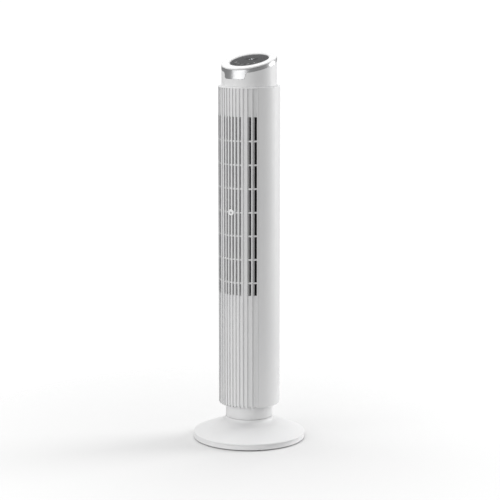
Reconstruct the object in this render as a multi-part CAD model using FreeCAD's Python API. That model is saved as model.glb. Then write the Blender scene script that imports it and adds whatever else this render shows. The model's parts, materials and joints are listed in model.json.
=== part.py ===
import FreeCAD, Part
import math
import os
from FreeCAD import Vector, Rotation, Placement

# Tower fan on a round flared base.  Millimetres, +Z up, front towards -Y, origin on the
# floor under the middle of the base.

# ---- driving dimensions -------------------------------------------------------------
BASE_R = 145.0            # widest point of the base rim
RIM_TOP = 18.2            # top of the rim, where the flare begins
NECK_R = 61.0             # neck between base and column
SEAM_Z = 59.2             # joint between the fixed base and the turning neck
COL_R = 79.0              # column
COL_Z0 = 94.6             # flat underside of the column
COL_EDGE = 3.0            # radius of its lower edge
COL_Z1 = 919.0            # ledge on top of the column
SKIN = 2.8                # moulded wall
HEAD_R = 70.5             # head above the ledge
TOP_Z = 984.5             # slanted top face on the axis
TOP_TILT = math.degrees(math.atan(0.281))

BASE_PLATE_Z = 101.0      # plate that carries the column's insides
GRILLE_X = 62.0           # half width of the ribbed front
RIB_W = 4.2
RIB_PITCH = 9.5
OUTER_GAPS = ((40.8, 48.6), (51.4, 59.4))
RIB_DEPTH = 12.0
OUTER_RIB_DEPTH = 7.0
GROOVE = 3.0
WIN_Z0 = 389.0            # air outlet
WIN_Z1 = 844.0
BAR_TOP = 783.3           # highest of the cross bars
BAR_STEP = 60.3
BAR_COUNT = 7
BAR_H = 4.2
BAR_RECESS = 1.0

WHEEL_Y = 6.0             # axis of the blower wheel
WHEEL_R = 42.0
WHEEL_Z0 = 388.0
WHEEL_Z1 = 846.0
WHEEL_BLADES = 30
SHAFT_R = 4.0
GAP = 0.3                 # clearance between pieces that turn past each other

GEAR_MODULE = 1.25
GEAR_TEETH = 72
PINION_TEETH = 18
GEAR_Z0 = 39.8
GEAR_Z1 = 45.0
PINION_X = GEAR_MODULE * (GEAR_TEETH + PINION_TEETH) / 2
MOTOR_POST_Y = 20.0

PLATE_Z0 = 2.2
PLATE_Z1 = 5.2
FOOT_AT = 131.0
BOSS_AT = 122.0

PANEL_R = 49.8
PANEL_SINK = 2.6
KEY_R = 6.3
KEY_RING = 34.0
KEY_ANGLES = {"key_power": -56, "key_speed": -28, "key_swing": 0, "key_timer": 28, "key_mode": 56}


# ---- helpers ------------------------------------------------------------------------
def cyl(r, z0, z1, x=0.0, y=0.0):
    return Part.makeCylinder(r, z1 - z0, Vector(x, y, z0))


def tube(r_out, r_in, z0, z1, x=0.0, y=0.0):
    return cyl(r_out, z0, z1, x, y).cut(cyl(r_in, z0 - 1, z1 + 1, x, y))


def box(x0, x1, y0, y1, z0, z1):
    return Part.makeBox(x1 - x0, y1 - y0, z1 - z0, Vector(x0, y0, z0))


def rod_y(r, y0, y1, x, z):
    return Part.makeCylinder(r, y1 - y0, Vector(x, y0, z), Vector(0, 1, 0))


def fuse(shapes):
    return shapes[0].multiFuse(shapes[1:]).removeSplitter()


def cut(shape, tools):
    return shape.cut(Part.makeCompound(tools))


def revolve(edges):
    face = Part.Face(Part.Wire(edges))
    return face.revolve(Vector(0, 0, 0), Vector(0, 0, 1), 360)


def path(points):
    return [Part.LineSegment(Vector(a[0], 0, a[1]), Vector(b[0], 0, b[1])).toShape()
            for a, b in zip(points, points[1:])]


def turned(points):
    """Solid of revolution from a closed outline of (radius, height) points."""
    return revolve(path(points + [points[0]]))


def spline(points):
    curve = Part.BSplineCurve()
    curve.interpolate([Vector(r, 0, z) for r, z in points])
    return curve.toShape()


def arc(a, b, c):
    return Part.Arc(*[Vector(p[0], 0, p[1]) for p in (a, b, c)]).toShape()


def polar(r, degrees):
    """Point on a circle, measured from +X."""
    return r * math.cos(math.radians(degrees)), r * math.sin(math.radians(degrees))


def tilted(shape):
    """Carry a shape from the flat panel frame (top face at z = 0) to the slanted top."""
    out = shape.copy()
    out.Placement = Placement(Vector(0, 0, TOP_Z), Rotation(Vector(1, 0, 0), TOP_TILT))
    return out


def slab(top, bottom):
    return tilted(box(-120, 120, -120, 120, bottom, top))


def below_top(offset):
    return tilted(box(-150, 150, -150, 150, -150, offset))


# ---- gears --------------------------------------------------------------------------
def gear_face(teeth, backlash=0.22):
    pitch = GEAR_MODULE * teeth / 2
    base = pitch * math.cos(math.radians(20))
    root = pitch - 1.15 * GEAR_MODULE
    tip = pitch + 0.85 * GEAR_MODULE
    inv20 = math.tan(math.radians(20)) - math.radians(20)
    half = math.pi / (2 * teeth) - backlash / (2 * pitch)
    start = max(base, root)
    radii = [start + (tip - start) * i / 4 for i in range(5)]
    flank = []
    for r in radii:
        a = math.acos(min(1.0, base / r))
        flank.append((r, half + inv20 - (math.tan(a) - a)))
    if root < base:
        flank.insert(0, (root, flank[0][1]))
    points = []
    for i in range(teeth):
        mid = 2 * math.pi * i / teeth
        side = [(r, mid - a) for r, a in flank] + [(r, mid + a) for r, a in reversed(flank)]
        points += [Vector(r * math.cos(a), r * math.sin(a), 0) for r, a in side]
    return Part.Face(Part.makePolygon(points + [points[0]]))


def gear(teeth, z0, z1):
    solid = gear_face(teeth).extrude(Vector(0, 0, z1 - z0))
    solid.translate(Vector(0, 0, z0))
    return solid


# ---- base ---------------------------------------------------------------------------
def base_cover():
    flare = spline([(NECK_R + 0.4, SEAM_Z - 0.3), (63.6, 52.2), (70, 46.8), (84, 40.8), (104, 33.6),
                    (126, 25.4), (BASE_R - 2, RIM_TOP)])
    rim = arc((BASE_R - 2, RIM_TOP), (BASE_R - 0.5, 17.4), (BASE_R, 16))
    skirt = path([(BASE_R, 16), (BASE_R, 14.8), (BASE_R - 2.6, 13.2), (BASE_R - 2.8, 10), (BASE_R - 1.2, 2.5),
                  (BASE_R - 3.4, 2.5), (BASE_R - 3.4, 6.2), (BASE_R - 5.2, 9.6), (BASE_R - 5.2, 13),
                  (BASE_R - 3.4, 15.5)])
    inner = spline([(BASE_R - 3.4, 15.5), (125, 22.8), (103, 31), (83, 38.2), (68.6, 44.4),
                    (61.6, 50.4), (NECK_R - 2.2, 56)])
    lip = path([(NECK_R - 2.2, 56), (NECK_R - 2.2, SEAM_Z - 0.3), (NECK_R + 0.4, SEAM_Z - 0.3)])
    shell = revolve([flare, rim] + skirt + [inner] + lip)
    roof = turned([(0, 4), (136, 4), (136, 20.5), (104, 32.4), (0, 32.4)])
    bosses = []
    holes = []
    for i in range(6):
        x, y = polar(BOSS_AT, 60 * i)
        bosses.append(cyl(4.5, PLATE_Z1 + 0.1, 30.0, x, y).common(roof))
        holes.append(cyl(2.25, 3, 20, x, y))
    holes.append(rod_y(5.3, 130, 150, 0, 10))
    return cut(fuse([shell] + bosses), holes)


def base_bottom_plate():
    plate = cyl(BASE_R - 3.8, PLATE_Z0, PLATE_Z1)
    plate = plate.makeFillet(0.8, [plate.Edges[2]])
    plate = fuse([plate, cyl(9, PLATE_Z1 - 0.5, 10, PINION_X, 0)])
    holes = [cyl(14, 0, 12), box(-8, 8, 135, 150, 0, 8)]
    holes += [cyl(2.1, 3, 6, *polar(41, 60 + 60 * i)) for i in range(5)]
    for i in range(6):
        x, y = polar(BOSS_AT, 60 * i)
        holes += [cyl(2.3, 0, 8, x, y), cyl(4.1, 0, 3.9, x, y)]
    for i in range(4):
        x, y = polar(FOOT_AT, 45 + 90 * i)
        holes.append(cyl(8.3, 0, 3.9, x, y))
    return cut(plate, holes)


def rubber_feet():
    feet = []
    for i in range(4):
        x, y = polar(FOOT_AT, 45 + 90 * i)
        foot = cyl(8, 0, 3.8, x, y)
        feet.append(foot.makeFillet(0.9, [foot.Edges[2]]))
    return Part.makeCompound(feet)


def screw(head_r, head_h, shank_r, length):
    """Pan screw along +Z, head below z = 0, cross recess in the head."""
    body = fuse([cyl(head_r, -head_h, 0), cyl(shank_r, -0.2, length)])
    cross = [box(-head_r * 0.6, head_r * 0.6, -0.4, 0.4, -head_h - 1, -head_h * 0.45),
             box(-0.4, 0.4, -head_r * 0.6, head_r * 0.6, -head_h - 1, -head_h * 0.45)]
    return cut(body, cross)


def place(shape, x, y, z, rotation=Rotation()):
    out = shape.copy()
    out.Placement = Placement(Vector(x, y, z), rotation)
    return out


def base_screws():
    one = screw(3.7, 1.4, 1.95, 14)
    return Part.makeCompound([place(one, *polar(BOSS_AT, 60 * i), 3.9) for i in range(6)])


def ballast_ring():
    ring = tube(110, 76, PLATE_Z1, 15.2)
    return cut(ring, [cyl(4.2, 0, 20, *polar(93, 30 + 120 * i)) for i in range(3)])


def bearing_housing():
    body = turned([(32, PLATE_Z1), (46, PLATE_Z1), (46, 8.2), (36, 8.2), (36, 37.5),
                   (26.2, 37.5), (26.2, 15.6), (32, 15.6)])
    return cut(body, [cyl(2.2, 0, 10, *polar(41, 60 + 60 * i)) for i in range(5)])


def housing_screws():
    one = screw(3.4, 1.6, 1.9, 4.6)
    flip = Rotation(Vector(1, 0, 0), 180)
    return Part.makeCompound([place(one, *polar(41, 60 + 60 * i), 8.25, flip) for i in range(5)])


def thrust_washer():
    return tube(35.5, 26.4, 37.5, 39.5)


def oscillation_motor():
    can = cyl(16, 10, 33, PINION_X, 0)
    can = can.makeFillet(1.5, [can.Edges[0], can.Edges[2]])
    ears = box(PINION_X - 4, PINION_X + 4, -24, 24, 31, 32.6)
    ears = cut(ears, [cyl(1.7, 28, 36, PINION_X, s * MOTOR_POST_Y) for s in (-1, 1)])
    nose = cyl(5, 32, 35, PINION_X, 0)
    return fuse([can, ears, nose]).cut(cyl(2.8, 24, 40, PINION_X, 0))


def motor_posts():
    posts = []
    for s in (-1, 1):
        post = cyl(3.4, PLATE_Z1, 30.8, PINION_X, s * MOTOR_POST_Y)
        posts.append(post.cut(cyl(1.7, 20, 32, PINION_X, s * MOTOR_POST_Y)))
    return Part.makeCompound(posts)


def cord_gland():
    body = fuse([rod_y(4.9, 139, 143.6, 0, 10), rod_y(6.6, 137.6, 139.6, 0, 10)])
    return body.cut(rod_y(3.4, 130, 150, 0, 10))


# ---- swivel -------------------------------------------------------------------------
def swivel_hub():
    hub = turned([(20, 9), (25.9, 9), (25.9, GEAR_Z1), (32, GEAR_Z1), (32, 60), (52, 60),
                  (52, 64), (20, 64)])
    return cut(hub, [cyl(2.1, 50, 70, *polar(42, 60 * i)) for i in range(6)])


def swivel_gear():
    return gear(GEAR_TEETH, GEAR_Z0, GEAR_Z1 - 0.05).cut(cyl(26.1, 30, 60))


def retaining_nut():
    nut = turned([(26.1, 9.4), (29.5, 9.4), (30.5, 10.4), (30.5, 14), (29.5, 15), (26.1, 15)])
    notches = [box(28.6, 32, -2, 2, 9, 12) for i in range(4)]
    for i, notch in enumerate(notches):
        notch.rotate(Vector(0, 0, 0), Vector(0, 0, 1), 90 * i)
    return cut(nut, notches)


def drive_pinion():
    wheel = gear(PINION_TEETH, GEAR_Z0 - 2, GEAR_Z1 - 1.4)
    wheel.rotate(Vector(0, 0, 0), Vector(0, 0, 1), 180.0 / PINION_TEETH + 180)
    wheel.translate(Vector(PINION_X, 0, 0))
    hub = cyl(6, GEAR_Z0 - 4, GEAR_Z0 - 1, PINION_X, 0)
    shaft = cyl(2.5, 26, GEAR_Z1 - 0.6, PINION_X, 0)
    return fuse([wheel, hub, shaft])


def neck_collar():
    collar = turned([(20.5, 64), (55.6, 64), (55.6, 51), (57.4, 51), (57.4, SEAM_Z + 0.4),
                     (NECK_R, SEAM_Z + 0.4), (NECK_R, COL_Z0 - 0.2), (58, COL_Z0 - 0.2), (58, 67),
                     (20.5, 67)])
    return cut(collar, [cyl(2.3, 60, 70, *polar(42, 60 * i)) for i in range(6)])


def hub_screws():
    one = screw(3.6, 2.0, 1.9, 6.6)
    flip = Rotation(Vector(1, 0, 0), 180)
    return Part.makeCompound([place(one, *polar(42, 60 * i), 67.05, flip) for i in range(6)])


def column_base_plate():
    post = tube(54, 50.5, 67.2, 102)
    foot = tube(54, 47.6, 67.2, 69.2)
    plate = tube(70, 22, BASE_PLATE_Z, BASE_PLATE_Z + 4)
    holes = [cyl(3, 90, 120, *polar(62, 45 + 90 * i)) for i in range(4)]
    return cut(fuse([post, foot, plate]), holes)


# ---- column -------------------------------------------------------------------------
def column_solid(inset):
    r = COL_R - inset
    z0 = COL_Z0 + inset
    top = COL_Z1 - inset
    low = COL_EDGE * (1 - math.sqrt(0.5))
    edges = path([(0, z0), (r - COL_EDGE, z0)])
    edges.append(arc((r - COL_EDGE, z0), (r - low, z0 + low), (r, z0 + COL_EDGE)))
    edges += path([(r, z0 + COL_EDGE), (r, top - 2)])
    edges.append(arc((r, top - 2), (r - 0.6, top - 0.6), (r - 2, top)))
    edges += path([(r - 2, top), (0, top), (0, z0)])
    return revolve(edges)


def gaps():
    """(x0, x1, open) of each gap between neighbouring ribs; the fourth from the middle is blind."""
    half = []
    for k in range(4):
        half.append((RIB_PITCH * k + RIB_W / 2, RIB_PITCH * (k + 1) - RIB_W / 2, k != 3))
    half += [(x0, x1, True) for x0, x1 in OUTER_GAPS]
    return half + [(-x1, -x0, through) for x0, x1, through in half]


def front_zone(grow):
    return box(-GRILLE_X - grow, GRILLE_X + grow, -90, -20 + grow, COL_Z0 - 10, COL_Z1 + 10)


def front_grille():
    inner = column_solid(2 * SKIN)
    deep = column_solid(0).cut(column_solid(RIB_DEPTH))
    thin = column_solid(OUTER_RIB_DEPTH)
    edge = OUTER_GAPS[0][0] - 1.5
    sides = [box(edge, 70, -90, 0, 0, 1000), box(-70, -edge, -90, 0, 0, 1000)]
    hollow = [thin.common(side) for side in sides]
    hollow += [inner.common(box(-90, 90, -90, 90, 0, WIN_Z0 - 9)),
              inner.common(box(-90, 90, -90, 90, WIN_Z1 + 8, 1000)),
              cyl(57.5, 90, 105), cyl(66, 900, 940)]
    body = cut(deep.common(front_zone(0)), hollow)
    outer_layer = column_solid(0).cut(column_solid(GROOVE))
    slots = []
    grooves = []
    for x0, x1, through in gaps():
        grooves.append(box(x0, x1, -90, -20, COL_Z0 - 5, COL_Z1 - 4))
        if through:
            slots.append(box(x0, x1, -90, -15, WIN_Z0, WIN_Z1))
    bars = column_solid(BAR_RECESS).cut(column_solid(RIB_DEPTH))
    levels = [box(-90, 90, -90, -10, BAR_TOP - i * BAR_STEP - BAR_H / 2, BAR_TOP - i * BAR_STEP + BAR_H / 2)
              for i in range(BAR_COUNT)]
    bars = bars.common(Part.makeCompound(levels))
    openings = Part.makeCompound(slots).cut(bars)
    body = body.cut(outer_layer.common(Part.makeCompound(grooves)))
    body = body.cut(openings)
    posts = []
    bores = []
    behind_grooves = column_solid(GROOVE + 1)
    for x, z in shell_screw_places():
        posts.append(rod_y(4.5, -60, 20, x, z).common(behind_grooves))
        bores.append(rod_y(1.95, 2, 25, x, z))
    return fuse([body] + posts).cut(Part.makeCompound(bores))


def shell_screw_places():
    return [(s * 54.0, z) for s in (-1, 1) for z in (130.0, 352.0, 880.0)]


def rear_window(grow):
    return box(-50 - grow, 50 + grow, 10, 100, WIN_Z0 + 3 - grow, WIN_Z1 - 2 + grow)


def rear_shell():
    shell = column_solid(0).cut(column_solid(SKIN))
    holes = [front_zone(GAP), rear_window(0), cyl(57.5, 90, 105), cyl(66, 900, 940),
             box(-42, 42, 30, 100, 866, 896)]
    body = cut(shell, holes)
    bosses = []
    bores = []
    limit = column_solid(1.0)
    for x, z in shell_screw_places():
        bosses.append(rod_y(6.0, 20.3, 60, x, z).common(limit))
        bores += [rod_y(4.1, 23, 80, x, z), rod_y(2.1, 15, 30, x, z)]
    return cut(fuse([body] + bosses), bores)


def rear_grille():
    shell = column_solid(0).cut(column_solid(SKIN))
    panel = shell.common(rear_window(-GAP))
    slots = []
    z_first = WIN_Z0 + 12
    step = (WIN_Z1 - WIN_Z0 - 24) / 10
    for i in range(10):
        x = -40.5 + 9 * i
        for j in range(10):
            z = z_first + j * step
            slots.append(box(x - 2.75, x + 2.75, 30, 90, z + 2, z + step - 2))
    return cut(panel, slots)


def handle_cup():
    outside = box(-41.7, 41.7, 44, 90, 866.3, 895.7)
    outside = outside.common(column_solid(0))
    inside = box(-39.5, 39.5, 46.2, 90, 868.5, 893.5)
    deep_edges = [e for e in inside.Edges if abs(e.Vertexes[0].Y - e.Vertexes[1].Y) > 30]
    inside = inside.makeFillet(5, deep_edges)
    return outside.cut(inside)


def shell_screws():
    one = screw(3.6, 2.2, 1.7, 17)
    turn = Rotation(Vector(1, 0, 0), 90)
    return Part.makeCompound([place(one, x, 23.05, z, turn) for x, z in shell_screw_places()])


def badge():
    z = BAR_TOP - 3 * BAR_STEP
    disc = rod_y(8, -81.4, -79.1, 0, z)
    disc = disc.makeFillet(0.7, [disc.Edges[2], disc.Edges[0]])
    pegs = [rod_y(1.5, -79.5, -78.2, s * 4.75, z) for s in (-1, 1)]
    ring = rod_y(6.6, -82, -81, 0, z).cut(rod_y(5.9, -83, -80, 0, z))
    return fuse([disc] + pegs).cut(ring)


# ---- blower -------------------------------------------------------------------------
def wheel_blade():
    def at(r, degrees):
        x, y = polar(r, degrees)
        return Vector(x, y, WHEEL_Z0 + 1)
    outer = Part.Arc(at(33, 0), at(38, 3.4), at(41.5, 9)).toShape()
    inner = Part.Arc(at(41.3, 10.8), at(37.6, 5.4), at(33, 2.2)).toShape()
    joins = [Part.makeLine(at(41.5, 9), at(41.3, 10.8)), Part.makeLine(at(33, 2.2), at(33, 0))]
    face = Part.Face(Part.Wire([outer, joins[0], inner, joins[1]]))
    return face.extrude(Vector(0, 0, WHEEL_Z1 - WHEEL_Z0 - 2))


def impeller_wheel():
    step = (WHEEL_Z1 - WHEEL_Z0 - 2.5) / 4
    discs = []
    for i in range(5):
        z = WHEEL_Z0 + i * step
        disc = cyl(WHEEL_R, z, z + 2.5)
        discs.append(disc if i in (0, 4) else disc.cut(cyl(31, z - 1, z + 4)))
    hubs = [cyl(10, WHEEL_Z0, WHEEL_Z0 + 16), cyl(10, WHEEL_Z1 - 16, WHEEL_Z1)]
    blades = []
    for i in range(WHEEL_BLADES):
        blade = wheel_blade()
        blade.rotate(Vector(0, 0, 0), Vector(0, 0, 1), 360.0 / WHEEL_BLADES * i)
        blades.append(blade)
    wheel = fuse(discs + hubs + blades).cut(cyl(SHAFT_R + 0.2, 300, 900))
    wheel.translate(Vector(0, WHEEL_Y, 0))
    return wheel


def impeller_shaft():
    return cyl(SHAFT_R, 322, 861, 0, WHEEL_Y)


def motor_rotor():
    core = tube(20.2, SHAFT_R + 0.2, 330, 362, 0, WHEEL_Y)
    ends = [tube(18, 12, 362, 364.5, 0, WHEEL_Y), tube(18, 12, 327.5, 330, 0, WHEEL_Y)]
    return fuse([core] + ends)


def carrier_plate(z0, z1):
    disc = cyl(66, z0, z1)
    tabs = cyl(75.6, z0, z1).common(box(-80, 80, -12, 14, z0 - 1, z1 + 1))
    return fuse([disc, tabs])


def motor_mount_plate():
    holes = [cyl(12, 370, 390, 0, WHEEL_Y)]
    for i in range(4):
        x, y = polar(31, 45 + 90 * i)
        holes.append(cyl(2.2, 370, 390, x, y + WHEEL_Y))
    plate = fuse([carrier_plate(379, 382), tube(62, 59.5, 382, 385)])
    return cut(plate, holes)


def motor_housing():
    can = tube(36, 34.2, 318, 375.8, 0, WHEEL_Y)
    floor = tube(36, 9.3, 318, 320.5, 0, WHEEL_Y)
    vents = []
    for i in range(8):
        vent = box(30, 40, -3.5, 3.5, 338, 360)
        vent.rotate(Vector(0, 0, 0), Vector(0, 0, 1), 45 * i)
        vent.translate(Vector(0, WHEEL_Y, 0))
        vents.append(vent)
    return cut(fuse([can, floor]), vents)


def motor_end_bell():
    bell = tube(36, 9.3, 376, 378.8, 0, WHEEL_Y)
    seat = tube(12, 9.3, 371, 377, 0, WHEEL_Y)
    holes = []
    for i in range(4):
        x, y = polar(31, 45 + 90 * i)
        holes.append(cyl(2.2, 370, 390, x, y + WHEEL_Y))
    return cut(fuse([bell, seat]), holes)


def motor_bearings():
    return Part.makeCompound([tube(9.1, SHAFT_R + GAP, 318.5, 325.5, 0, WHEEL_Y),
                              tube(9.1, SHAFT_R + GAP, 371, 378, 0, WHEEL_Y)])


def stator_core():
    core = tube(34, 21, 332, 360, 0, WHEEL_Y)
    slots = []
    for i in range(12):
        x, y = polar(26.5, 30 * i)
        slots.append(cyl(3.2, 320, 370, x, y + WHEEL_Y))
        slot = box(20, 26, -0.9, 0.9, 320, 370)
        slot.rotate(Vector(0, 0, 0), Vector(0, 0, 1), 30 * i)
        slot.translate(Vector(0, WHEEL_Y, 0))
        slots.append(slot)
    return cut(core, slots)


def stator_windings():
    rings = []
    for z in (325.6, 360.2):
        ring = tube(32.5, 22, z, z + 6.2, 0, WHEEL_Y)
        rings.append(ring.makeFillet(1.8, [e for e in ring.Edges if len(e.Vertexes) == 1]))
    return Part.makeCompound(rings)


def motor_screws():
    one = screw(3.4, 1.8, 1.9, 6)
    flip = Rotation(Vector(1, 0, 0), 180)
    spots = [polar(31, 45 + 90 * i) for i in range(4)]
    return Part.makeCompound([place(one, x, y + WHEEL_Y, 382.1, flip) for x, y in spots])


def upper_bracket():
    ribs = [box(-60, 60, WHEEL_Y - 1.5, WHEEL_Y + 1.5, 852.9, 857), box(-1.5, 1.5, -50, 60, 852.9, 857)]
    seat = cyl(14, 852.9, 858.5, 0, WHEEL_Y)
    return fuse([carrier_plate(850, 853), seat] + ribs).cut(cyl(11.3, 840, 870, 0, WHEEL_Y))


def upper_bearing():
    return fuse([tube(11.1, SHAFT_R + GAP, 850, 859, 0, WHEEL_Y),
                 tube(13, SHAFT_R + GAP, 858.6, 860, 0, WHEEL_Y)])


def air_guide():
    def arc_xy(points):
        return Part.Arc(*[Vector(x, y, 385.2) for x, y in points]).toShape()
    outer = [(-54.5, -34), (-58.5, 8), (-38, 46)]
    inner = [(-36.4, 44.6), (-56.4, 8), (-52.6, -33.2)]
    ends = [Part.makeLine(Vector(*outer[2], 385.2), Vector(*inner[0], 385.2)),
            Part.makeLine(Vector(*inner[2], 385.2), Vector(*outer[0], 385.2))]
    face = Part.Face(Part.Wire([arc_xy(outer), ends[0], arc_xy(inner), ends[1]]))
    return face.extrude(Vector(0, 0, 849.8 - 385.2))


def vortex_tongue():
    outline = [(54.5, -34), (46.5, -11), (48.6, 2), (58, 12),
               (59.6, 10.6), (50.6, 1), (48.8, -10.6), (56.4, -33.2)]
    points = [Vector(x, y, 385.2) for x, y in outline]
    face = Part.Face(Part.makePolygon(points + [points[0]]))
    return face.extrude(Vector(0, 0, 849.8 - 385.2))


# ---- electrics ----------------------------------------------------------------------
def power_board():
    board = box(-32, 32, 34, 35.6, 135, 235)
    parts = [box(-24, 0, 14, 34.2, 150, 176), box(8, 24, 20, 34.2, 148, 166),
             box(-26, -12, 22, 34.2, 196, 214), box(-4, 14, 26, 34.2, 205, 222)]
    drums = [rod_y(5, 18, 34.2, 18, 185), rod_y(4, 22, 34.2, 24, 200), rod_y(4, 22, 34.2, 2, 190)]
    holes = [rod_y(1.8, 30, 40, sx * 28, z) for sx in (-1, 1) for z in (140, 230)]
    return cut(fuse([board] + parts + drums), holes)


def board_bracket():
    z0 = BASE_PLATE_Z + 4.2
    plate = box(-34, 34, 41, 43, z0, 240)
    foot = box(-34, 34, 28, 43, z0, z0 + 2)
    spacers = [rod_y(3.2, 35.8, 41.5, sx * 28, z) for sx in (-1, 1) for z in (140, 230)]
    return fuse([plate, foot] + spacers)


def motor_capacitor():
    can = box(-20, 20, 12, 34, 262, 290)
    can = can.makeFillet(3, can.Edges)
    strap = box(-24, 24, 33, 36, 270, 276)
    return fuse([can, strap, box(-24, 24, 35, 43, 270, 272)])


def wiring_harness():
    route = [(-30, 30, 225), (-66, 31, 250), (-66, 31, 882), (-44, 20, 908), (-26, 14, 950)]
    points = [Vector(*p) for p in route]
    pieces = []
    for a, b in zip(points, points[1:]):
        run = b.sub(a)
        pieces.append(Part.makeCylinder(2.4, run.Length, a, run))
    pieces += [Part.makeSphere(2.4, p) for p in points[1:-1]]
    return fuse(pieces)


# ---- head ---------------------------------------------------------------------------
def trim_zone(grow):
    """Slanted band below the top ring, widened at the front into a rounded bib."""
    band = slab(-4.2 + grow, -12.2 - grow)
    half = 31.0 + grow
    low = 938.4 - grow
    k = 7.0
    flare = 948.0
    spread = 46.0
    top = 962.0

    def p(x, z):
        return Vector(x, -90, z)
    c = k * (1 - math.sqrt(0.5))
    outline = [Part.makeLine(p(-half + k, low), p(half - k, low)),
               Part.Arc(p(half - k, low), p(half - c, low + c), p(half, low + k)).toShape(),
               Part.makeLine(p(half, low + k), p(half, flare)),
               Part.Arc(p(half, flare), p(half + 4.2, flare + 6.6), p(spread, flare + 10.5)).toShape(),
               Part.makeLine(p(spread, flare + 10.5), p(spread, top)),
               Part.makeLine(p(spread, top), p(-spread, top)),
               Part.makeLine(p(-spread, top), p(-spread, flare + 10.5)),
               Part.Arc(p(-spread, flare + 10.5), p(-half - 4.2, flare + 6.6), p(-half, flare)).toShape(),
               Part.makeLine(p(-half, flare), p(-half, low + k)),
               Part.Arc(p(-half, low + k), p(-half + c, low + c), p(-half + k, low)).toShape()]
    bib = Part.Face(Part.Wire(outline)).extrude(Vector(0, 88, 0))
    bib = bib.common(below_top(-4.2 + grow))
    return band.fuse(bib)


def chrome_trim():
    return tube(HEAD_R + 0.2, HEAD_R - 1.2, 900, 1020).common(trim_zone(0)).removeSplitter()


def head_housing():
    wall = tube(HEAD_R, HEAD_R - 3.2, COL_Z1 + 0.2, 1020).common(below_top(-8.2))
    recess = tube(HEAD_R + 2, HEAD_R - 1.5, 900, 1020).common(trim_zone(0.3))
    wall = wall.cut(recess)
    upper = tube(HEAD_R - 1.5, HEAD_R - 3.2, 940, 1020).common(below_top(-4.0))
    floor = tube(HEAD_R, 54, COL_Z1 + 0.2, COL_Z1 + 3)
    bosses = [cyl(3.9, COL_Z1 - 5.6, COL_Z1 + 3, *polar(61, 45 + 90 * i)) for i in range(4)]
    bores = [cyl(1.95, 900, COL_Z1 + 2, *polar(61, 45 + 90 * i)) for i in range(4)]
    return cut(fuse([wall, upper, floor] + bosses), bores)


def head_mount_ring():
    ring = tube(71, 53, COL_Z1 - 10, COL_Z1 - 6)
    return cut(ring, [cyl(2.2, 900, 920, *polar(61, 45 + 90 * i)) for i in range(4)])


def head_screws():
    one = screw(3.5, 2.0, 1.7, 11)
    return Part.makeCompound([place(one, *polar(61, 45 + 90 * i), COL_Z1 - 10.05) for i in range(4)])


def top_ring():
    brim = cyl(HEAD_R, 940, 1020).common(slab(0, -3.5))
    rim_edge = [e for e in brim.Edges if e.BoundBox.XLength > 2 * HEAD_R - 2
                and e.CenterOfMass.z > TOP_Z - 1.5]
    brim = brim.makeFillet(1.6, rim_edge)
    core = tilted(cyl(60, -8, -3.4))
    bevel = tilted(Part.makeCone(PANEL_R + 0.35, PANEL_R + 3.2, PANEL_SINK, Vector(0, 0, -PANEL_SINK)))
    opening = tilted(cyl(PANEL_R + 0.35, -10, -PANEL_SINK + 0.01))
    return cut(brim.fuse(core).removeSplitter(), [bevel, opening])


def display_outline(grow, z0, z1):
    outline = box(-18 - grow, 18 + grow, 3 - grow, 16 + grow, z0, z1)
    edges = [e for e in outline.Edges if abs(e.Vertexes[0].Z - e.Vertexes[1].Z) > 0.5]
    return outline.makeFillet(3, edges)


def key_place(name):
    a = math.radians(KEY_ANGLES[name] - 90)
    return KEY_RING * math.cos(a), KEY_RING * math.sin(a)


def control_panel():
    lens = cyl(PANEL_R, -5.2, -PANEL_SINK)
    lens = lens.makeFillet(0.4, [lens.Edges[0]])
    holes = [cyl(KEY_R + GAP, -8, 0, *key_place(n)) for n in KEY_ANGLES]
    holes.append(display_outline(0.3, -8, 0))
    return tilted(cut(lens, holes))


def display_window():
    return tilted(display_outline(0, -5.2, -PANEL_SINK - 0.05))


def panel_tray():
    tray = fuse([tube(55, 45, -11, -8.2), tube(49.6, 46.4, -8.3, -5.3)])
    ears = [cyl(5, -11, -8.2, *polar(57, 30 + 60 * i)) for i in range(6)]
    return tilted(fuse([tray] + ears))


def control_board():
    board = cyl(44.4, -12.8, -11.2)
    ears = [cyl(3.5, -12.8, -11.2, *polar(46.5, 30 + 60 * i)) for i in range(6)]
    return tilted(fuse([board] + ears))


def tact_switches():
    group = []
    for name in KEY_ANGLES:
        x, y = key_place(name)
        body = box(x - 3, x + 3, y - 3, y + 3, -11.15, -8.6)
        group.append(tilted(body.fuse(cyl(1.7, -8.7, -7.6, x, y)).removeSplitter()))
    return Part.makeCompound(group)


def display_module():
    return tilted(box(-17, 17, 4, 15, -11.15, -5.6))


def control_key(name):
    x, y = key_place(name)
    cap = cyl(KEY_R, -5.6, -PANEL_SINK + 0.3, x, y)
    cap = cap.makeFillet(0.5, [cap.Edges[0]])
    return tilted(fuse([cap, cyl(7.3, -6.3, -5.45, x, y), cyl(2, -6.9, -6.2, x, y)]))


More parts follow.
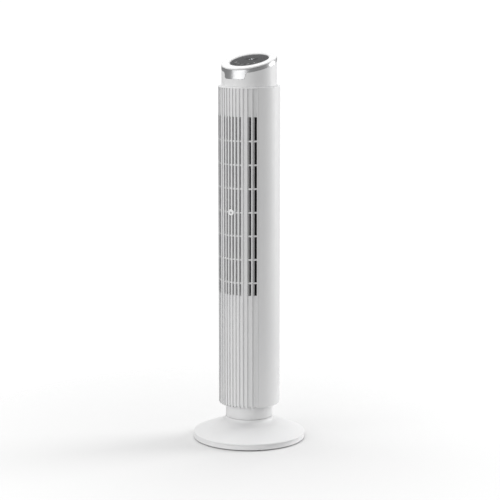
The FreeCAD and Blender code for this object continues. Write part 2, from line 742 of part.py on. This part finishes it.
# ---- write every piece --------------------------------------------------------------
PIECES = {
    "base_cover": base_cover, "base_bottom_plate": base_bottom_plate, "rubber_feet": rubber_feet,
    "base_screws": base_screws, "ballast_ring": ballast_ring, "bearing_housing": bearing_housing,
    "housing_screws": housing_screws, "thrust_washer": thrust_washer,
    "oscillation_motor": oscillation_motor, "motor_posts": motor_posts, "cord_gland": cord_gland,
    "swivel_hub": swivel_hub, "swivel_gear": swivel_gear, "retaining_nut": retaining_nut,
    "drive_pinion": drive_pinion, "neck_collar": neck_collar, "hub_screws": hub_screws,
    "column_base_plate": column_base_plate, "front_grille": front_grille, "rear_shell": rear_shell,
    "rear_grille": rear_grille, "handle_cup": handle_cup, "shell_screws": shell_screws, "badge": badge,
    "impeller_wheel": impeller_wheel, "impeller_shaft": impeller_shaft, "motor_rotor": motor_rotor,
    "motor_mount_plate": motor_mount_plate, "motor_housing": motor_housing,
    "motor_end_bell": motor_end_bell, "motor_bearings": motor_bearings, "stator_core": stator_core,
    "stator_windings": stator_windings, "motor_screws": motor_screws, "upper_bracket": upper_bracket,
    "upper_bearing": upper_bearing, "air_guide": air_guide, "vortex_tongue": vortex_tongue,
    "power_board": power_board, "board_bracket": board_bracket, "motor_capacitor": motor_capacitor,
    "wiring_harness": wiring_harness, "chrome_trim": chrome_trim, "head_housing": head_housing,
    "head_mount_ring": head_mount_ring, "head_screws": head_screws, "top_ring": top_ring,
    "control_panel": control_panel, "display_window": display_window, "panel_tray": panel_tray,
    "control_board": control_board, "tact_switches": tact_switches, "display_module": display_module,
}


def write_piece(name, shape):
    shape.exportStep("parts/%s.step" % name)
    box_ = shape.BoundBox
    print("%-20s solids %3d valid %s  x %.1f..%.1f y %.1f..%.1f z %.1f..%.1f" % (
        name, len(shape.Solids), shape.isValid(), box_.XMin, box_.XMax, box_.YMin, box_.YMax,
        box_.ZMin, box_.ZMax))


os.makedirs("parts", exist_ok=True)
for piece_name, make in PIECES.items():
    write_piece(piece_name, make())
for key_name in KEY_ANGLES:
    write_piece(key_name, control_key(key_name))
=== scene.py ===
import json
import math

import bmesh
import bpy
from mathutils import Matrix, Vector


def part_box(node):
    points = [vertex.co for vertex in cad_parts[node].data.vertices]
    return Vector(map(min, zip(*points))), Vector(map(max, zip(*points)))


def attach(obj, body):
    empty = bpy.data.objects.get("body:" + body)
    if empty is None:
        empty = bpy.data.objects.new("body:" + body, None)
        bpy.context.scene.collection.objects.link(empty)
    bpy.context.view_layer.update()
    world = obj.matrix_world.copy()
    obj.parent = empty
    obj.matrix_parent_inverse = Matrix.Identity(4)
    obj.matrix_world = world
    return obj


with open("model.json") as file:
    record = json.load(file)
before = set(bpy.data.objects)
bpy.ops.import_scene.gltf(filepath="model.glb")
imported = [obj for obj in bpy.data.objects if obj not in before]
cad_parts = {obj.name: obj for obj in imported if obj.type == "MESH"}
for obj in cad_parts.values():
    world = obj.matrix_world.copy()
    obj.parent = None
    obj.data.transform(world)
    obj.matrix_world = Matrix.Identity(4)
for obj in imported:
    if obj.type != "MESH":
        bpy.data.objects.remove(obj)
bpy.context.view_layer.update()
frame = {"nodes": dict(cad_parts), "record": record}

NODES = frame["nodes"]
MM = 0.001


def lift(grey):
    """A neutral colour from one linear value."""
    return (grey, grey, grey, 1.0)


# ---- materials ----------------------------------------------------------------------
# noise scales, in features per metre
DRIFT_SCALE = 9.0             # slow change of colour over a moulding
GLOSS_SCALE = 55.0            # patches of more and less gloss
STAIN_SCALE = 30.0            # tarnish on metal

PLASTIC_GRAIN_DEPTH = 0.0002  # metres
METAL_GRAIN_DEPTH = 0.0001
METAL_GRAIN_STRENGTH = 0.08
COAT_ROUGHNESS = 0.12

# the Mix node's colour sockets, by number because its other sockets share their names
MIX_FACTOR, MIX_FIRST, MIX_SECOND, MIX_RESULT = 0, 6, 7, 2


def new_material(name, colour, roughness, metallic=0.0):
    """A Principled material with its constant values set on the shader's own sockets."""
    mat = bpy.data.materials.new(name)
    mat.use_nodes = True
    shader = mat.node_tree.nodes["Principled BSDF"]
    shader.inputs["Base Color"].default_value = colour
    shader.inputs["Roughness"].default_value = roughness
    shader.inputs["Metallic"].default_value = metallic
    return mat, shader


def noise(mat, scale, detail, stretch=(1, 1, 1)):
    """Noise in the object's own coordinates, scale in features per metre."""
    tree = mat.node_tree
    coords = tree.nodes.new("ShaderNodeTexCoord")
    mapping = tree.nodes.new("ShaderNodeMapping")
    mapping.inputs["Scale"].default_value = stretch
    texture = tree.nodes.new("ShaderNodeTexNoise")
    texture.inputs["Scale"].default_value = scale
    texture.inputs["Detail"].default_value = detail
    tree.links.new(coords.outputs["Object"], mapping.inputs["Vector"])
    tree.links.new(mapping.outputs["Vector"], texture.inputs["Vector"])
    return texture.outputs["Fac"]


def ranged(mat, source, low, high, start=0.3, end=0.7):
    """Maps a value between start and end to low and high."""
    node = mat.node_tree.nodes.new("ShaderNodeMapRange")
    node.inputs["From Min"].default_value = start
    node.inputs["From Max"].default_value = end
    node.inputs["To Min"].default_value = low
    node.inputs["To Max"].default_value = high
    mat.node_tree.links.new(source, node.inputs["Value"])
    return node.outputs["Result"]


def blend_colour(mat, factor, first, second):
    """First colour where factor is 0, second where it is 1."""
    node = mat.node_tree.nodes.new("ShaderNodeMix")
    node.data_type = "RGBA"
    node.inputs[MIX_FIRST].default_value = first
    node.inputs[MIX_SECOND].default_value = second
    mat.node_tree.links.new(factor, node.inputs[MIX_FACTOR])
    return node.outputs[MIX_RESULT]


def bump(mat, shader, height, strength, distance):
    """Feeds a height value to the shader's normal."""
    node = mat.node_tree.nodes.new("ShaderNodeBump")
    node.inputs["Strength"].default_value = strength
    node.inputs["Distance"].default_value = distance
    mat.node_tree.links.new(height, node.inputs["Height"])
    mat.node_tree.links.new(node.outputs["Normal"], shader.inputs["Normal"])


def mix_shaders(tree, factor, first, second, output):
    """Shows the first shader where factor is 0 and the second where it is 1."""
    mix = tree.nodes.new("ShaderNodeMixShader")
    tree.links.new(factor, mix.inputs["Fac"])
    tree.links.new(first, mix.inputs[1])
    tree.links.new(second, mix.inputs[2])
    tree.links.new(mix.outputs["Shader"], output.inputs["Surface"])


def moulded(name, light, dark, roughness, spread, grain, strength, coat=0.0, gloss_level=0.5):
    """Moulded plastic: faint colour drift, uneven gloss and a fine surface grain."""
    mat, shader = new_material(name, light, roughness)
    shader.inputs["Coat Weight"].default_value = coat
    shader.inputs["Coat Roughness"].default_value = COAT_ROUGHNESS
    shader.inputs["Specular IOR Level"].default_value = gloss_level
    link = mat.node_tree.links.new
    drift = ranged(mat, noise(mat, DRIFT_SCALE, 4.0), 0.0, 1.0)
    link(blend_colour(mat, drift, light, dark), shader.inputs["Base Color"])
    gloss = noise(mat, GLOSS_SCALE, 5.0)
    link(ranged(mat, gloss, roughness - spread, roughness + spread), shader.inputs["Roughness"])
    bump(mat, shader, noise(mat, grain, 2.0), strength, PLASTIC_GRAIN_DEPTH)
    return mat


def metal(name, light, dark, roughness, spread, stretch, grain):
    """Drawn or turned metal: a grain stretched one way, with a little tarnish."""
    mat, shader = new_material(name, light, roughness, metallic=1.0)
    link = mat.node_tree.links.new
    stain = ranged(mat, noise(mat, STAIN_SCALE, 4.0), 0.0, 1.0)
    link(blend_colour(mat, stain, light, dark), shader.inputs["Base Color"])
    line = noise(mat, grain, 3.0, stretch)
    link(ranged(mat, line, roughness - spread, roughness + spread), shader.inputs["Roughness"])
    bump(mat, shader, line, METAL_GRAIN_STRENGTH, METAL_GRAIN_DEPTH)
    return mat


def glowing(name, colour, strength):
    """Lit plastic, such as the figures of a display."""
    mat = moulded(name, colour, lift(0.75), roughness=0.4, spread=0.05, grain=900, strength=0.02)
    shader = mat.node_tree.nodes["Principled BSDF"]
    shader.inputs["Emission Color"].default_value = colour
    shader.inputs["Emission Strength"].default_value = strength
    return mat


def make_materials():
    """One material for each of the record's material slots."""
    return {
        # outside
        "white_gloss": moulded("white_abs", (0.735, 0.735, 0.735, 1), (0.715, 0.716, 0.72, 1),
                               roughness=0.50, spread=0.04, grain=2600, strength=0.03),
        "badge_white": moulded("badge_abs", (0.90, 0.90, 0.90, 1), (0.87, 0.87, 0.87, 1),
                               roughness=0.30, spread=0.04, grain=1200, strength=0.03, coat=0.4),
        "panel_smoke": moulded("smoked_panel", (0.042, 0.043, 0.045, 1), (0.035, 0.036, 0.038, 1),
                               roughness=0.20, spread=0.04, grain=1500, strength=0.02, gloss_level=0.3),
        "key_smoke": moulded("smoked_key", (0.050, 0.051, 0.053, 1), (0.041, 0.042, 0.044, 1),
                             roughness=0.30, spread=0.05, grain=1800, strength=0.04, gloss_level=0.3),
        "display_dark": moulded("display_glass", (0.012, 0.012, 0.013, 1), (0.008, 0.008, 0.009, 1),
                                roughness=0.10, spread=0.03, grain=800, strength=0.02, gloss_level=0.35),
        "chrome_trim": metal("bright_trim", (0.54, 0.543, 0.548, 1), (0.49, 0.493, 0.50, 1),
                             roughness=0.32, spread=0.04, stretch=(1, 1, 6), grain=500),
        # inside and underneath
        "dark_plastic": moulded("dark_frame", (0.055, 0.055, 0.058, 1), (0.04, 0.04, 0.042, 1),
                                roughness=0.52, spread=0.08, grain=1400, strength=0.22),
        "white_nylon": moulded("nylon", (0.74, 0.73, 0.68, 1), (0.66, 0.65, 0.60, 1),
                               roughness=0.42, spread=0.08, grain=1100, strength=0.12),
        "impeller_black": moulded("blower_plastic", (0.03, 0.03, 0.032, 1), (0.02, 0.02, 0.022, 1),
                                  roughness=0.45, spread=0.08, grain=1300, strength=0.15),
        "rubber_black": moulded("rubber", (0.02, 0.02, 0.02, 1), (0.032, 0.031, 0.03, 1),
                                roughness=0.72, spread=0.1, grain=2200, strength=0.35),
        "wire_black": moulded("wire_sleeve", (0.022, 0.022, 0.022, 1), (0.035, 0.035, 0.035, 1),
                              roughness=0.5, spread=0.1, grain=1800, strength=0.2),
        "board_green": moulded("circuit_board", (0.02, 0.13, 0.06, 1), (0.015, 0.09, 0.045, 1),
                               roughness=0.38, spread=0.08, grain=1500, strength=0.1, coat=0.2),
        "steel_zinc": metal("zinc_steel", (0.56, 0.57, 0.58, 1), (0.42, 0.43, 0.44, 1),
                            roughness=0.34, spread=0.1, stretch=(8, 8, 1), grain=400),
        "ballast_iron": metal("cast_ballast", (0.16, 0.16, 0.165, 1), (0.09, 0.085, 0.08, 1),
                              roughness=0.66, spread=0.12, stretch=(1, 1, 1), grain=500),
        "bearing_bronze": metal("sintered_bronze", (0.55, 0.36, 0.17, 1), (0.40, 0.25, 0.12, 1),
                                roughness=0.38, spread=0.1, stretch=(1, 1, 6), grain=600),
        "copper_wire": metal("enamelled_copper", (0.62, 0.22, 0.08, 1), (0.45, 0.14, 0.05, 1),
                             roughness=0.28, spread=0.08, stretch=(1, 1, 30), grain=900),
    }


MATS = make_materials()
SLOT_OF = {part["node"]: part["material_slot"] for part in frame["record"]["subparts"]}

# width in metres of the rounded edges of the mouldings whose hard edges would catch the eye
EDGE = {"front_grille": 0.0006, "rear_grille": 0.0004, "neck_collar": 0.0005, "top_ring": 0.0003,
        "handle_cup": 0.0004}
WELD_DISTANCE = 0.00001
HARD_EDGE = math.radians(35)


def round_edges(node, width):
    """Rounds a node's hard edges with modifiers, which leave its mesh as it is."""
    weld = node.modifiers.new("weld", "WELD")
    weld.merge_threshold = WELD_DISTANCE
    bevel = node.modifiers.new("bevel", "BEVEL")
    bevel.width = width
    bevel.segments = 2
    bevel.limit_method = "ANGLE"
    bevel.angle_limit = HARD_EDGE
    bevel.harden_normals = True
    bevel.use_clamp_overlap = True


for node_name, cad_node in NODES.items():
    cad_node.data.materials.clear()
    cad_node.data.materials.append(MATS[SLOT_OF[node_name]])
    if node_name in EDGE:
        round_edges(cad_node, EDGE[node_name])


# ---- small made pieces: key symbols, lit figures, badge inlay ------------------------
PANEL_RISE = 0.281            # the top of the fan rises this much for each unit towards the back
SLOPE = math.atan(PANEL_RISE)
OUT_OF_PANEL = Vector((0, -math.sin(SLOPE), math.cos(SLOPE)))
UP_PANEL = Vector((0, math.cos(SLOPE), math.sin(SLOPE)))

# a raised line's cross-section: its foot is sunk in the panel, and its top is narrower
LINE_FOOT = -0.03             # millimetres from the panel's face
LINE_SHOULDER = 0.6           # of the line's height
LINE_CROWN = 0.7              # of the line's width


def add_piece(name, bm, material, body):
    """Makes an object of the mesh, with a material, that moves with a CAD body."""
    bmesh.ops.recalc_face_normals(bm, faces=bm.faces)
    mesh = bpy.data.meshes.new(name)
    bm.to_mesh(mesh)
    bm.free()
    piece = bpy.data.objects.new(name, mesh)
    bpy.context.scene.collection.objects.link(piece)
    mesh.materials.append(material)
    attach(piece, body)
    return piece


def join_rings(bm, first, second):
    """A band of four-sided faces between two rings of as many points."""
    count = len(first)
    for k in range(count):
        after = (k + 1) % count
        bm.faces.new((first[k], first[after], second[after], second[k]))


def top_face(name):
    """Middle of a part's highest face on the slanted panel."""
    points = [v.co for v in NODES[name].data.vertices]
    top = max(p.dot(OUT_OF_PANEL) for p in points)
    face = [p for p in points if p.dot(OUT_OF_PANEL) > top - 0.05 * MM]
    return sum(face, Vector()) / len(face)


def ribbon(bm, origin, points, width, rise=0.10, closed=False):
    """Thin raised line on the panel through points (right, up) in millimetres."""
    points = [Vector(p) for p in points]
    count = len(points)
    shoulder = rise * LINE_SHOULDER
    section = ((1, LINE_FOOT), (1, shoulder), (LINE_CROWN, rise),
               (-LINE_CROWN, rise), (-1, shoulder), (-1, LINE_FOOT))
    rings = []
    for i, p in enumerate(points):
        before = points[i - 1] if i or closed else p
        after = points[(i + 1) % count] if i < count - 1 or closed else p
        along = (after - before).normalized()
        across = Vector((-along.y, along.x)) * width / 2
        ring = []
        for share, height in section:
            q = p + across * share
            offset = Vector((q.x, 0, 0)) + UP_PANEL * q.y + OUT_OF_PANEL * height
            ring.append(bm.verts.new(origin + offset * MM))
        rings.append(ring)
    for first, second in zip(rings, rings[1:]):
        join_rings(bm, first, second)
    if closed:
        join_rings(bm, rings[-1], rings[0])
    else:
        bm.faces.new(rings[0])
        bm.faces.new(rings[-1])


def arc_points(radius, start, end, count, middle=(0.0, 0.0)):
    """Points on an arc, angles in degrees clockwise from the top."""
    angles = [math.radians(start + (end - start) * i / (count - 1)) for i in range(count)]
    return [(middle[0] + radius * math.sin(a), middle[1] + radius * math.cos(a)) for a in angles]


def wave(height):
    """Two periods of a wave at a height above the key's middle."""
    width, swing, steps = 5.2, 0.45, 20
    turns = [i / steps for i in range(steps + 1)]
    return [(width * (t - 0.5), height + swing * math.sin(4 * math.pi * t)) for t in turns]


# each key's symbol: lines as (points in millimetres from the key's middle, closed)
SYMBOLS = {
    "key_power": [(arc_points(2.4, 38, 322, 25), False),
                  ([(0, 0.7), (0, 3.1)], False)],
    "key_speed": [([(-2, -2.2), (-2, -0.9)], False),
                  ([(0, -2.2), (0, 0.6)], False),
                  ([(2, -2.2), (2, 2.2)], False)],
    "key_swing": [(arc_points(3.2, -58, 58, 17, (0, -1.2)), False),
                  ([(-3.5, 1.7), (-2.7, 0.5), (-1.5, 1.1)], False),
                  ([(3.5, 1.7), (2.7, 0.5), (1.5, 1.1)], False)],
    "key_timer": [(arc_points(2.5, 0, 345, 24), True),
                  ([(0, 1.6), (0, 0), (1.2, -0.7)], False)],
    "key_mode": [(wave(1.5), False), (wave(0), False), (wave(-1.5), False)],
}
SYMBOL_LINE = 0.5


def key_symbols(material):
    """A generic raised symbol on each key, which moves with its key."""
    for key, lines in SYMBOLS.items():
        bm = bmesh.new()
        origin = top_face(key)
        for points, closed in lines:
            ribbon(bm, origin, points, SYMBOL_LINE, closed=closed)
        add_piece("symbol_" + key.removeprefix("key_"), bm, material, key)


# seven-bar figure: ends of the bars in a box 3.6 wide and 7 high, in millimetres
BARS = {"a": ((0.5, 7), (3.1, 7)), "b": ((3.6, 6.5), (3.6, 4.0)), "c": ((3.6, 3.0), (3.6, 0.5)),
        "d": ((0.5, 0), (3.1, 0)), "e": ((0, 3.0), (0, 0.5)), "f": ((0, 6.5), (0, 4.0)),
        "g": ((0.5, 3.5), (3.1, 3.5))}
FIGURE_HEIGHT = 7.0
FIGURE_LEAN = 0.08            # the figures lean this far to the right for each unit of height
READING = ((-5.6, "abged"), (0.6, "afgedc"))   # left edge and lit bars of a 2 and a 6
LIT_BAR = 0.75                # width of a bar
LIT_RING = 0.35               # width of the degree sign's line
LIT_RISE = 0.05


def lit_figures(material):
    """A generic temperature reading in the display window."""
    bm = bmesh.new()
    origin = top_face("display_window")
    for left, lit_bars in READING:
        for bar in lit_bars:
            ends = [(left + x + y * FIGURE_LEAN, y - FIGURE_HEIGHT / 2) for x, y in BARS[bar]]
            ribbon(bm, origin, ends, LIT_BAR, LIT_RISE)
    degree_sign = arc_points(0.6, 0, 330, 12, middle=(6.0, 3.2))
    ribbon(bm, origin, degree_sign, LIT_RING, LIT_RISE, closed=True)
    add_piece("display_figures", bm, material, "column")


# the inlay's outline from its middle to its rim, as (radius, rise from the badge's face) in millimetres
INLAY_OUTLINE = ((0.4, 0.42), (1.1, 0.41), (1.9, 0.37), (2.5, 0.31), (3.0, 0.20), (3.2, 0.06), (3.25, -0.2))
INLAY_SIDES = 64


def badge_inlay(material):
    """Shallow domed disc in the middle of the round badge."""
    low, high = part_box("badge")
    face = low[1]
    height = (low[2] + high[2]) / 2
    bm = bmesh.new()
    rings = []
    for radius, rise in INLAY_OUTLINE:
        ring = []
        for i in range(INLAY_SIDES):
            a = 2 * math.pi * i / INLAY_SIDES
            ring.append(bm.verts.new((radius * MM * math.cos(a), face - rise * MM,
                                      height + radius * MM * math.sin(a))))
        rings.append(ring)
    for first, second in zip(rings, rings[1:]):
        join_rings(bm, first, second)
    bm.faces.new(rings[0])
    bm.faces.new(rings[-1])
    piece = add_piece("badge_inlay", bm, material, "column")
    for polygon in piece.data.polygons:
        polygon.use_smooth = len(polygon.vertices) == 4


key_symbols(moulded("printed_ink", lift(0.42), lift(0.34), roughness=0.5, spread=0.06, grain=1600,
                    strength=0.05))
lit_figures(glowing("display_light", (0.80, 0.86, 0.92, 1), 0.25))
badge_inlay(metal("badge_satin", lift(0.46), lift(0.40), roughness=0.34, spread=0.05,
                  stretch=(14, 1, 1), grain=500))


# ---- camera, floor, surroundings and lights -----------------------------------------
FAN_AZIMUTH = math.radians(34.6)      # the front of the fan points this far to the camera's left
CAMERA_DISTANCE = 4.382
CAMERA_HEIGHT = 1.215
CAMERA_PITCH = math.radians(9.33)     # down from level
CAMERA_YAW = math.radians(0.026)      # to the right of the fan's axis
LENS = 124.0
FILM_WIDTH = 36.0
VIEW_DEPTH = 60.0

TO_RIGHT = Vector((math.cos(FAN_AZIMUTH), math.sin(FAN_AZIMUTH), 0))
TO_CAMERA = Vector((math.sin(FAN_AZIMUTH), -math.cos(FAN_AZIMUTH), 0))
UP = Vector((0, 0, 1))


def from_camera(right, towards, up):
    """A point given to the camera's right, towards the camera and up from the fan's foot."""
    return TO_RIGHT * right + TO_CAMERA * towards + UP * up


def make_camera():
    """A long lens that looks slightly down at the fan."""
    data = bpy.data.cameras.new("camera")
    data.lens = LENS
    data.sensor_width = FILM_WIDTH
    data.clip_end = VIEW_DEPTH
    camera = bpy.data.objects.new("camera", data)
    bpy.context.scene.collection.objects.link(camera)
    camera.location = from_camera(0, CAMERA_DISTANCE, CAMERA_HEIGHT)
    level = (TO_RIGHT * math.tan(CAMERA_YAW) - TO_CAMERA).normalized()
    aim = level * math.cos(CAMERA_PITCH) - UP * math.sin(CAMERA_PITCH)
    camera.rotation_mode = "QUATERNION"
    camera.rotation_quaternion = aim.to_track_quat("-Z", "Y")
    bpy.context.scene.camera = camera


FLOOR_RADIUS = 2.2
FLOOR_SOLID = 0.14            # radius up to which the floor is opaque, just inside the base's rim
FLOOR_GONE = 1.1              # radius from which only the white surroundings show


def make_floor():
    """Pale floor round the fan that fades into the white surroundings."""
    mesh = bpy.data.meshes.new("floor")
    bm = bmesh.new()
    bmesh.ops.create_circle(bm, cap_ends=True, segments=96, radius=FLOOR_RADIUS)
    bm.to_mesh(mesh)
    bm.free()
    floor = bpy.data.objects.new("floor", mesh)
    bpy.context.scene.collection.objects.link(floor)
    mat, shader = new_material("floor_paper", lift(0.70), 0.6)
    tree = mat.node_tree
    coords = tree.nodes.new("ShaderNodeTexCoord")
    length = tree.nodes.new("ShaderNodeVectorMath")
    length.operation = "LENGTH"
    tree.links.new(coords.outputs["Object"], length.inputs[0])
    far = ranged(mat, length.outputs["Value"], 0.0, 1.0, FLOOR_SOLID, FLOOR_GONE)
    clear = tree.nodes.new("ShaderNodeBsdfTransparent")
    mix_shaders(tree, far, shader.outputs["BSDF"], clear.outputs["BSDF"],
                tree.nodes["Material Output"])
    floor.data.materials.append(mat)


WORLD_AS_LIGHT = 0.38
WORLD_AS_SEEN = 1.05


def make_world():
    """White behind the fan, but only a faint light from it: the area lights shape the fan."""
    world = bpy.data.worlds.new("studio")
    world.use_nodes = True
    tree = world.node_tree
    dim = tree.nodes["Background"]
    dim.inputs["Color"].default_value = lift(1.0)
    dim.inputs["Strength"].default_value = WORLD_AS_LIGHT
    white = tree.nodes.new("ShaderNodeBackground")
    white.inputs["Color"].default_value = lift(1.0)
    white.inputs["Strength"].default_value = WORLD_AS_SEEN
    ray = tree.nodes.new("ShaderNodeLightPath")
    mix_shaders(tree, ray.outputs["Is Camera Ray"], dim.outputs["Background"],
                white.outputs["Background"], tree.nodes["World Output"])
    bpy.context.scene.world = world


# soft area lights: place (right, towards the camera, up), width and height, in metres, and watts
LIGHTS = {
    "key_right": ((2.6, -0.95, 1.3), (1.2, 2.6), 72),
    "fill_front": ((-2.1, 2.3, 1.5), (3.6, 2.6), 62),
    "top_soft": ((-0.4, -0.9, 3.6), (3.6, 2.6), 94),
}
LIT_POINT = Vector((0, 0, 0.55))


def make_lights():
    """Area lights, all turned to the middle of the fan."""
    for name, (place, size, power) in LIGHTS.items():
        data = bpy.data.lights.new(name, "AREA")
        data.shape = "RECTANGLE"
        data.size, data.size_y = size
        data.energy = power
        light = bpy.data.objects.new(name, data)
        bpy.context.scene.collection.objects.link(light)
        light.location = from_camera(*place)
        light.rotation_mode = "QUATERNION"
        light.rotation_quaternion = (LIT_POINT - light.location).to_track_quat("-Z", "Y")


make_camera()
make_floor()
make_world()
make_lights()
bpy.context.scene.view_settings.view_transform = "Standard"
